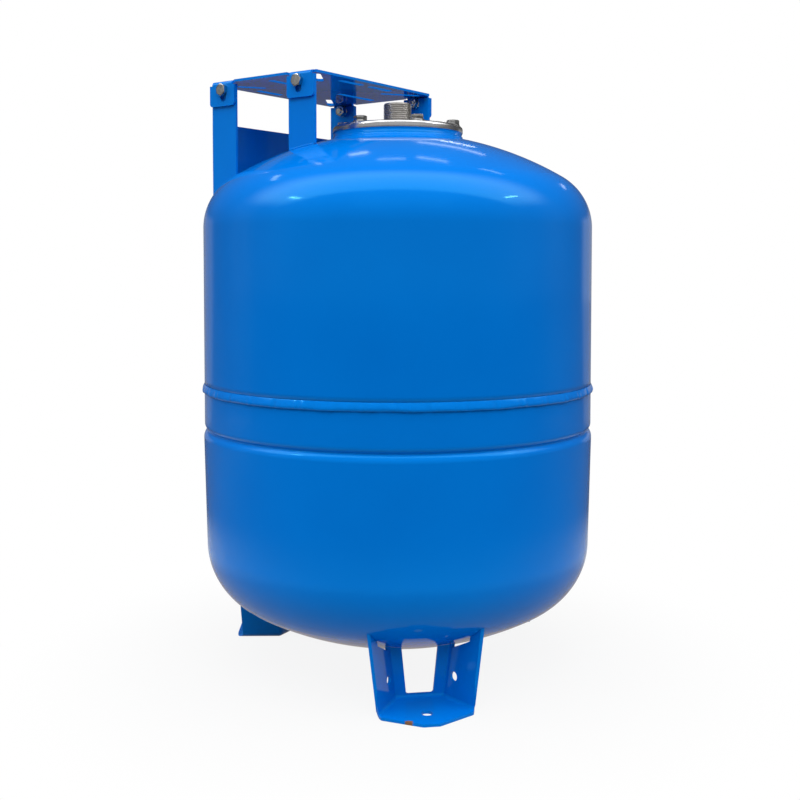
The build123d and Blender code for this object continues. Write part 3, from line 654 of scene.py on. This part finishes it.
lower_r, lower_knuckle, lower_crown = 223.0 * mm, 81.5 * mm, 367.0 * mm
lower_rim, valve_hole, ground_gap = 226.0 * mm, 9.15 * mm, 23.5 * mm
lower_tangent = ground_gap + lower_crown - dome_parts(lower_r, lower_knuckle, lower_crown)[0]
lip_z = lower_tangent + 129.0 * mm
groove_z, groove_r = lip_z + 1.6 * mm, body_r - 3.2 * mm
slip_gap, slope = 0.15 * mm, 2.5 * mm
lip_round, groove_round, bend_round = 10.5 * mm, 8.0 * mm, 1.0 * mm


def lower_wall(depth):
    """The wall from the knuckle over the groove to the rim inside the upper half, less a depth."""
    slip_r = body_r - wall - slip_gap
    corners = [
        (lower_r - depth, lower_tangent),
        (lower_rim - depth, lip_z - 2.4 * mm),
        (groove_r - depth, groove_z),
        (groove_r - depth, groove_z + 1.2 * mm),
        (body_r - depth, groove_z + 4.8 * mm),
        (body_r - depth, seam_z - slope),
        (slip_r - depth, seam_z + slope),
        (slip_r - depth, float(high("lower_shell")[2])),
    ]
    return rounded(corners, [lip_round, bend_round, bend_round, groove_round, bend_round, bend_round])


bowl = dome(lower_r, lower_knuckle, lower_crown, lower_tangent, -1, valve_hole)
bowl_in = dome(lower_r, lower_knuckle, lower_crown, lower_tangent, -1, valve_hole, wall)
lower_profile = np.concatenate([bowl[::-1], lower_wall(0)[1:], lower_wall(wall)[::-1][:-1], bowl_in])
turned_piece("bottle_lower_half", lower_profile, bottle_steps, bottle_paint, "lower_shell")

# %% [markdown]
# ## Seam weld
# The bead where the halves join was laid by machine while the bottle turned. It rises
# softly above and drops steeply below, with fine ripples and a slightly wandering height.
# The ripples are sums of waves whose counts round the tank share no common factor, so
# they never line up into a pattern. The bead is kept within its solid's radius.


# %% Seam weld
def wander(angle, counts, seed):
    """A closed curve of about unit size: a sum of waves round the tank with set phases."""
    chance = np.random.default_rng(seed)
    total = np.zeros_like(angle)
    for count in counts:
        total = total + math.sqrt(2 / len(counts)) * np.sin(count * angle + chance.uniform(0, tau))
    return total


seam_steps, seam_rings = 1440, 11
edge_rise, core_rise, seam_height, steepness = 0.12 * mm, 0.05 * mm, 2.25 * mm, 1.7
angle = full_turn(seam_steps)
ripple = 0.035 * wander(angle, [401, 463, 523, 577], 3) + 0.10 * wander(angle, [37, 61, 97, 139, 181], 5)
proud = seam_height * (1 + ripple)
seam_rise = 0.35 * mm * wander(angle, [5, 9, 17, 31], 8)
down_bead = np.linspace(0, 1, seam_rings)
bulge = np.sin(math.pi * down_bead**steepness)[:, None]
widest = float(high("girth_weld")[0]) - 0.02 * mm
half_height = (seam_top - seam_foot) / 2 - 0.5 * mm
r = np.minimum(body_r + edge_rise + proud[None, :] * bulge, widest)
z = seam_z + half_height * np.cos(math.pi * down_bead)[:, None] + seam_rise[None, :] * bulge
r, z = joined((r, z), ring_rows([(body_r + core_rise, seam_z)], seam_steps))
points = spun(r, z)[::-1]  # listed from the top down, and turned round to run up the outside
mesh_piece("seam_weld", points, grid_quads(*r.shape, True), bottle_paint, "girth_weld")

# %% [markdown]
# ## Neck, flange and outlet
# A thick ring is welded into the top dome. Its outside has a fine step just below the
# flange, and the fillet weld at its foot is slightly uneven. The height of the dome's
# outside at any radius says where the ring and the posts meet it.

# %% Neck ring with its weld
upper_centre = upper_tangent - upper_drop


def dome_height(x, y):
    """Height of the top dome's outside over a point: the crown's arc, or the knuckle's beyond it."""
    r = np.hypot(x, y)
    meet = body_r - upper_knuckle + upper_knuckle * math.cos(math.radians(upper_join))
    crown = upper_centre + np.sqrt(np.maximum(upper_crown**2 - r**2, 0))
    bend = upper_tangent + np.sqrt(np.maximum(upper_knuckle**2 - (r - body_r + upper_knuckle) ** 2, 0))
    return np.where(r < meet, crown, bend)


neck_bore, neck_spigot, neck_depth = 50 * mm, 71 * mm, 15.5 * mm
fillet_r = 3.4 * mm
ring_foot = float(dome_height(neck_r, 0))


def weld_waves(angle, z):
    """Waves of the radius round the ring that fade within 1.6 mm of the ring's foot."""
    near = np.exp(-((z - ring_foot) / (1.6 * mm)) ** 2)
    return 0.12 * mm * wander(angle, [37, 53, 71], 4) * near


neck_profile = np.concatenate([
    [(neck_bore, flange_foot - neck_depth), (neck_spigot, flange_foot - neck_depth)],
    [(neck_spigot, ring_foot - 1.0 * mm)],
    [(neck_r + 3.0 * mm, float(dome_height(neck_r + 3.0 * mm, 0)) - 0.3 * mm)],
    arc((neck_r + fillet_r, ring_foot + 3.2 * mm), fillet_r, 262, 180, 7),
    [(neck_r, flange_foot - 5.4 * mm), (neck_r - 1.9 * mm, flange_foot - 4.6 * mm)],
    [(neck_r - 0.5 * mm, flange_foot), (neck_bore, flange_foot)],
])
turned_piece("neck_collar", neck_profile, 192, bottle_paint, "neck_ring", weld_waves)

# %% [markdown]
# The flange is pressed from stainless sheet, with a rounded shoulder and a turned-down rim
# that stands on the ring. Its profile starts at the outer edge, runs over the top to the
# hole for the outlet and comes back underneath.

# %% Flange
flange_t, edge_r, inner_bend, lip, pipe_r = 3.2 * mm, 4.4 * mm, 1.2 * mm, 0.5 * mm, 16.62 * mm
hole_r = pipe_r + 0.15 * mm
shelf = neck_r - edge_r
under_z = flange_top - flange_t
flange_profile = np.concatenate([
    arc((shelf, flange_top - edge_r), edge_r, 0, 90, 10),
    [(60 * mm, flange_top), (40 * mm, flange_top), (hole_r, flange_top)],
    [(hole_r, under_z), (shelf - 1.6 * mm, under_z)],
    arc((shelf - 0.4 * mm, flange_top - edge_r), inner_bend, 90, 0, 5),
    [(neck_r - flange_t, flange_foot), (neck_r - lip, flange_foot)],
    arc((neck_r - lip, flange_foot + lip), lip, 270, 360, 4)[1:],
])
turned_piece("flange_cover", flange_profile, 256, stainless, "flange")

# %% [markdown]
# The outlet's thread is a real helix. On a grid of heights and angles the radius falls
# from the crest by a raised cosine that advances one turn for each pitch of height; a cone
# trims it at the mouth, and it fades out above the weld collar.


# %% Threaded outlet
def threaded(crest, depth, pitch, foot, top, fade, chamfer, rows, steps):
    """Tables of radius and height of an outside thread between two heights.

    The radius is crest - depth * s, where s is a raised cosine of (height / pitch - turn),
    taken to the power 0.8 to widen the root; it fades near the foot and is cut by a 45
    degree cone near the top.
    """
    turns = np.arange(steps) / steps
    z = np.linspace(foot, top, rows)[:, None] + np.zeros(steps)
    phase = (z - foot) / pitch - turns[None, :]
    groove = (0.5 - 0.5 * np.cos(tau * phase)) ** 0.8
    strength = np.clip((z - foot) / fade, 0, 1)
    r = crest - depth * groove * strength
    return np.minimum(r, crest - chamfer + (top - z)), z


pitch_g, depth_g = 2.309 * mm, 1.35 * mm
pipe_bore, mouth_edge, outlet_steps = 13.0 * mm, 0.6 * mm, 96
pipe_foot, pipe_top = foot_and_top("outlet_nipple")
collar = [
    (pipe_r, pipe_foot), (pipe_r, flange_top), (pipe_r + 2.9 * mm, flange_top),
    (pipe_r + 2.3 * mm, flange_top + 1.3 * mm), (pipe_r + 1.2 * mm, flange_top + 2.3 * mm),
]
thread_foot, chamfer = flange_top + 3.2 * mm, 1.3 * mm
thread = threaded(pipe_r, depth_g, pitch_g, thread_foot, pipe_top, 2 * pitch_g, chamfer, 132, outlet_steps)
mouth = [(pipe_bore + mouth_edge, pipe_top), (pipe_bore, pipe_top - mouth_edge), (pipe_bore, pipe_foot)]
r, z = joined(ring_rows(collar, outlet_steps), thread, ring_rows(mouth, outlet_steps))
quads = grid_quads(*r.shape, True)
mesh_piece("threaded_outlet", spun(r, z), quads, turned_steel, "outlet_nipple")

# %% [markdown]
# ## Bolts, nuts and washers
# A hexagon head is a cylinder whose radius follows the hexagon: half the width across
# flats, divided by the cosine of the angle from the nearest flat's middle. Its chamfer
# is a cone that starts from a circle inside the flats, which is what gives real bolt
# heads their curved corners. Fasteners of one kind are joined into one mesh.

# %% Rows of a hexagon, a bolt and a washer
hex_flat, bolt_r, head_h, washer_t = 13.0 * mm, 3.95 * mm, 5.3 * mm, 1.6 * mm
bolt_pitch, bolt_depth, run_out, tip_cone = 1.25 * mm, 0.5 * mm, 0.4 * mm, 0.8 * mm
rows_per_mm = 6
circle_share, chamfer_slope = 0.95, math.tan(math.radians(28))


def hexagon(flat, foot, top, steps, foot_cone=False):
    """Tables up a hexagon prism, with a chamfer cone at its top or at both ends.

    The radius in the direction of an angle is flat / 2 / cos(angle from the flat's middle).
    """
    side_r = flat / 2 / np.cos(np.mod(full_turn(steps), tau / 6) - tau / 12)
    circle = flat / 2 * circle_share
    fall = chamfer_slope * (side_r - circle)
    if foot_cone:
        rows = [(circle, foot), (side_r, foot + fall)]
    else:
        rows = [(circle, foot), (side_r * 0.985, foot), (side_r, foot + 0.2 * mm)]
    return ring_rows(rows + [(side_r, top - fall), (circle, top)], steps)


def bolt(length, thread_from, steps=72):
    """Tables of a bolt from its tip on the axis, below 0, up to the middle of its head."""
    rows = int((length - thread_from) / mm * rows_per_mm)
    r, z = threaded(bolt_r, bolt_depth, bolt_pitch, -length, -thread_from, run_out, 0.0, rows, steps)
    r = np.minimum(r, bolt_r - tip_cone + (z + length))
    tip = ring_rows([(0.0, -length)], steps)
    shank = ring_rows([(bolt_r, 0.0)], steps)
    middle = ring_rows([(hex_flat / 2 * 0.8, head_h), (0.0, head_h)], steps)
    return joined(tip, (r, z), shank, hexagon(hex_flat, 0.0, head_h, steps), middle)


def washer(radius, steps=64):
    """Tables of a washer: a small rectangle with cut corners, turned about the bolt."""
    e, inner = 0.3 * mm, 4.5 * mm
    return ring_rows([
        (inner, e), (inner + e, 0), (radius - e, 0), (radius, e),
        (radius, washer_t - e), (radius - e, washer_t), (inner + e, washer_t), (inner, washer_t - e),
    ], steps)


# %% Placing and joining helpers
def placed(tables, centre, axis, spin=0.0):
    """Turn radius and height tables about an axis through a point, in metres."""
    r, h = tables
    angle = full_turn(r.shape[1]) + spin
    axis = np.array(axis, dtype=float)
    first = np.cross(axis, (0.0, 0.0, 1.0) if abs(axis[2]) < 0.9 else (0.0, 1.0, 0.0))
    first /= np.linalg.norm(first)
    second = np.cross(axis, first)
    across = np.cos(angle)[:, None] * first + np.sin(angle)[:, None] * second
    return np.asarray(centre) + r[..., None] * across[None] + h[..., None] * axis


def joined_piece(name, grids, close_rows, finish, node=None):
    """One mesh of several grids. Points that meet at a pole are merged and corners kept sharp."""
    points, quads, start = [], [], 0
    for grid in grids:
        rows, columns = grid.shape[:2]
        points.append(grid.reshape(-1, 3))
        quads.append(grid_quads(rows, columns, close_rows, start))
        start += rows * columns
    mesh = mesh_piece(name, np.concatenate(points), np.concatenate(quads), finish, node).data
    work = bmesh.new()
    work.from_mesh(mesh)
    bmesh.ops.remove_doubles(work, verts=work.verts, dist=1e-7)
    work.to_mesh(mesh)
    work.free()
    mesh.polygons.foreach_set("use_smooth", np.full(len(mesh.polygons), True))
    mesh.set_sharp_from_angle(angle=math.radians(35))


# %% Bolts and washers of the flange
upward, bolt_circle, first_bolt = (0, 0, 1), 65.0 * mm, 56  # degrees to the first bolt
flange_bolt_l, tab_bolt_l, plain_l = 20.0 * mm, 16.0 * mm, 4.0 * mm
flange_washer_r, tab_washer_r = 8.0 * mm, 7.5 * mm
bolts, washers = [], []
for k, spin in enumerate([0.3, 0.8, 0.1, 0.55, 0.95, 0.4]):
    a = math.radians(first_bolt + 60 * k)
    x, y = bolt_circle * math.cos(a), bolt_circle * math.sin(a)
    bolts.append(placed(bolt(flange_bolt_l, plain_l), (x, y, flange_top + washer_t), upward, spin))
    washers.append(placed(washer(flange_washer_r), (x, y, flange_top), upward))
joined_piece("flange_bolt_set", bolts, False, zinc, "flange_bolts")
joined_piece("flange_washer_set", washers, True, zinc, "flange_washers")

# %% [markdown]
# Four more bolts hold the platform: each goes through a folded tab and a post, with a
# washer and a nut on the inner side. Their places come from the boxes of the solids, less
# half the width of a head across its corners.

# %% Bolts through the platform's tabs
half_l = float(high("pump_platform")[0])
bolt_z = float(high("pump_platform")[2]) - 10.8 * mm
half_corner = hex_flat / math.sqrt(3)
bolt_near = float(low("platform_bolts")[1]) + half_corner
bolt_far = float(high("platform_bolts")[1]) - half_corner
clamped, nut_h, nut_bore, nut_steps = 6.0 * mm, 6.5 * mm, 4.05 * mm, 72
nut = joined(
    ring_rows([(nut_bore, 0.0)], nut_steps),
    hexagon(hex_flat, 0.0, nut_h, nut_steps, True),
    ring_rows([(nut_bore, nut_h)], nut_steps),
)
bolts, nuts, washers = [], [], []
for k, (end, y) in enumerate([(-1, bolt_near), (-1, bolt_far), (1, bolt_near), (1, bolt_far)]):
    here, inward = np.array([end * half_l, y, bolt_z]), np.array([-end, 0, 0])
    bolts.append(placed(bolt(tab_bolt_l, plain_l), here, -inward, 0.2 + 0.37 * k))
    washers.append(placed(washer(tab_washer_r), here + inward * clamped, inward))
    nuts.append(placed(nut, here + inward * (clamped + washer_t), inward, 0.15 + 0.5 * k))
joined_piece("platform_bolt_set", bolts, False, zinc, "platform_bolts")
joined_piece("platform_nut_set", nuts, True, zinc, "platform_nuts")
joined_piece("platform_washer_set", washers, True, zinc, "platform_washers")

# %% [markdown]
# ## Folded sheet
# The platform, its supports and the feet are cut and folded sheet whose shapes the
# solids already have. A painted edge is never knife sharp, though, and it is the small
# round that catches the light. Each is a copy of its solid with flat regions joined and a
# half millimetre bevel along its edges.


# %% Rounded copies of the sheet parts
def rounded_copy(node, name, paint, width=0.55 * mm):
    """A copy of a solid with its flat faces joined and its edges rounded by a bevel."""
    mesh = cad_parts[node].data.copy()
    mesh.name = name
    work = bmesh.new()
    work.from_mesh(mesh)
    bmesh.ops.remove_doubles(work, verts=work.verts, dist=1e-6)
    bmesh.ops.dissolve_limit(work, angle_limit=math.radians(0.4), verts=work.verts, edges=work.edges)
    work.to_mesh(mesh)
    work.free()
    mesh.materials.clear()
    mesh.materials.append(paint)
    mesh.polygons.foreach_set("use_smooth", np.full(len(mesh.polygons), True))
    thing = bpy.data.objects.new(name, mesh)
    bpy.context.scene.collection.objects.link(thing)
    bevel = thing.modifiers.new("edges", "BEVEL")
    bevel.width, bevel.segments, bevel.limit_method = width, 2, "ANGLE"
    bevel.angle_limit = math.radians(40)
    even = thing.modifiers.new("even_faces", "WEIGHTED_NORMAL")
    even.mode, even.weight, even.keep_sharp = "FACE_AREA", 100, True
    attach(thing, "root")
    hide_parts(node)
    print(f"{name}: {len(mesh.polygons)} faces")


sheet_parts = {
    "pump_platform": "slotted_platform", "outer_support": "outer_bracket",
    "inner_post_left": "inner_post_a", "inner_post_right": "inner_post_b",
    "foot_left": "foot_a", "foot_right": "foot_b", "foot_back": "foot_c",
}
for node, name in sheet_parts.items():
    rounded_copy(node, name, sheet_paint)

# %% [markdown]
# ## Welds at the posts' feet
# Each post stands on the dome along the outer face of its foot, where a short bead holds
# it. A bead is a thin tube along a line that follows the dome, with a slight ripple, and
# its ends close to a point.


# %% Post welds
def bead(path, radius, ripple_pitch, steps=12):
    """A tube along a path; its radius ripples with the distance gone and is nothing at both ends.

    Point (i, j) is path_i + radius_i * (cos a_j * first_i + sin a_j * second_i), where first and
    second stand square to the path's direction.
    """
    path = np.asarray(path, dtype=float)
    forward = np.gradient(path, axis=0)
    forward /= np.linalg.norm(forward, axis=1)[:, None]
    gone = np.concatenate([[0], np.cumsum(np.linalg.norm(np.diff(path, axis=0), axis=1))])
    size = radius * (1 + 0.14 * np.sin(tau * gone / ripple_pitch))
    taper = 1.5 * radius
    size = size * np.sqrt(np.clip(gone / taper, 0, 1) * np.clip((gone[-1] - gone) / taper, 0, 1))
    first = np.cross(forward, (0.0, 0.0, 1.0))
    first /= np.linalg.norm(first, axis=1)[:, None]
    second = np.cross(forward, first)
    a = full_turn(steps)
    spokes = np.cos(a)[None, :, None] * first[:, None] + np.sin(a)[None, :, None] * second[:, None]
    return path[:, None] + size[:, None, None] * spokes


bead_r, bead_pitch, raised, end_gap, bead_rows = 1.3 * mm, 1.6 * mm, 0.3 * mm, 1.5 * mm, 160
bracket_side, post_depth = 41.0 * mm, 39.0 * mm
beads = []
for node, ends in (("outer_support", (-1, 1)), ("inner_post_left", (-1,)), ("inner_post_right", (1,))):
    y_low, y_high = float(low(node)[1]), float(high(node)[1])
    if node == "outer_support":
        y_low = y_high - bracket_side
    y = np.linspace(y_low + end_gap, min(y_high, y_low + post_depth) - end_gap, bead_rows)
    for end in ends:
        x = np.full_like(y, (high(node)[0] if end > 0 else low(node)[0]) + end * raised)
        beads.append(bead(np.stack([x, y, dome_height(x, y) + raised], axis=-1), bead_r, bead_pitch))
joined_piece("post_welds", beads, False, bottle_paint)

# %% [markdown]
# ## Bladder
# The bladder is a soft rubber bag inside the bottle. Empty of water it draws in at its
# sides in shallow folds, which are waves of the radius that fade towards its ends.

# %% Bladder
bag_r, bag_mouth, bag_t, bag_lip = 165.0 * mm, 44.0 * mm, 2.5 * mm, 59 * mm
shoulder, mouth_bend, side_rows, bag_steps = 90.0 * mm, 21 * mm, 22, 168
bag_foot, lip_top = foot_and_top("bladder")
bag_top = upper_centre + math.sqrt((upper_crown - wall) ** 2 - neck_hole**2) - 42 * mm


def bag_side(depth):
    """Half outline of the bag from the foot on the axis to its mouth, less a depth."""
    foot, top = bag_foot + depth, bag_top - depth
    curve, turn_in = shoulder - depth, mouth_bend + depth
    heights = np.linspace(foot + curve, top - curve, side_rows + 2)[1:-1]
    return np.concatenate([
        [(0.0, foot), (30 * mm, foot)],
        arc((bag_r - shoulder, foot + curve), curve, -90, 0, 14),
        np.stack([np.full(side_rows, bag_r - depth), heights], axis=-1),
        arc((bag_r - shoulder, top - curve), curve, 0, 90, 14),
        arc((bag_mouth - depth + turn_in, top + turn_in), turn_in, 270, 180, 8),
    ])


def folds(angle, z):
    """Shallow folds of the bag's side: -5 mm * sin^2(pi s) * a wave of seven folds a turn.

    The share s runs from 0 at the foot to 1 at the top, and the folds lean with it.
    """
    s = np.clip((z - bag_foot) / (bag_top - bag_foot), 0, 1)
    return -5.0 * mm * np.sin(math.pi * s) ** 2 * (0.5 + 0.5 * np.cos(7 * angle + 1.5 * np.sin(3 * s)))


bag_out = np.concatenate([
    bag_side(0.0), [(bag_mouth, flange_foot), (bag_lip, flange_foot), (bag_lip, lip_top)],
])
bag_in = np.concatenate([[(bag_mouth - bag_t, lip_top)], bag_side(bag_t)[::-1]])
r, z = ring_rows(np.concatenate([bag_out, bag_in]), bag_steps)
r = np.maximum(r + np.where(r > 60 * mm, folds(full_turn(bag_steps)[None, :], z), 0), 0)
joined_piece("bladder_bag", [spun(r, z)], False, rubber, "bladder")

# %% [markdown]
# ## Air valve
# Air goes in from below, through a valve like a car tyre's: a boss in the shell, a brass
# stem with a hexagon and a fine thread, a core inside it and a ribbed cap over it. Each is
# a list of rings about the axis; only the hexagon, the thread and the ribs change round it.

# %% Air valve
boss_foot, boss_top = foot_and_top("air_valve_socket")
boss_r, boss_bore, boss_edge = 9.0 * mm, 4.0 * mm, 0.6 * mm
axis_foot, valve_steps = (0, 0, 0), 72
boss = ring_rows([
    (boss_bore, boss_foot), (boss_r - boss_edge, boss_foot), (boss_r, boss_foot + boss_edge),
    (boss_r, boss_top), (boss_bore, boss_top),
], valve_steps)
boss = [placed(boss, axis_foot, upward)]
joined_piece("valve_boss", boss, True, bottle_paint, "air_valve_socket")

stem_foot, stem_top = foot_and_top("air_valve_stem")
stem_r, stem_bore, hex_h, stem_flat = 3.85 * mm, 2.1 * mm, 3.0 * mm, 11.0 * mm
fine_pitch, fine_depth, fine_run_out = 0.8 * mm, 0.35 * mm, 0.3 * mm
hex_foot = boss_foot - hex_h
stem = joined(
    ring_rows([(stem_bore, stem_foot)], valve_steps),
    threaded(stem_r, fine_depth, fine_pitch, stem_foot, hex_foot, fine_run_out, 0.0, 96, valve_steps),
    hexagon(stem_flat, hex_foot, boss_foot, valve_steps, True),
    ring_rows([(stem_r, boss_foot), (stem_r, stem_top), (stem_bore, stem_top)], valve_steps),
)
joined_piece("valve_stem", [placed(stem, axis_foot, upward)], True, brass, "air_valve_stem")

core_foot, core_top = foot_and_top("air_valve_core")
core_r, pin_r = 1.95 * mm, 0.6 * mm
core = ring_rows([
    (0.0, core_foot), (pin_r, core_foot), (pin_r, core_foot + 1.5 * mm),
    (1.5 * mm, core_foot + 1.6 * mm), (1.6 * mm, core_foot + 3 * mm),
    (core_r, core_foot + 3.4 * mm), (core_r, core_top - 0.4 * mm), (1.2 * mm, core_top), (0.0, core_top),
], 48)
joined_piece("valve_core", [placed(core, axis_foot, upward)], False, brass, "air_valve_core")

# %% Ribbed cap
cap_foot, cap_top = foot_and_top("air_valve_cap")
cap_r, cap_bore, rib_depth, rib_count, cap_steps = 5.4 * mm, 4.0 * mm, 0.35 * mm, 24, 144
cap_floor = cap_foot + 1.4 * mm
ribs = cap_r - rib_depth * (0.5 - 0.5 * np.cos(rib_count * full_turn(cap_steps))) ** 1.5
cap = ring_rows([
    (0.0, cap_foot), (4.0 * mm, cap_foot), (ribs - 0.3 * mm, cap_foot + 0.35 * mm),
    (ribs, cap_foot + 1.0 * mm), (ribs, cap_top - 0.8 * mm), (cap_r - 0.4 * mm, cap_top),
    (cap_bore, cap_top), (cap_bore, cap_floor), (0.0, cap_floor),
], cap_steps)
joined_piece("valve_cap", [placed(cap, axis_foot, upward)], False, plastic, "air_valve_cap")
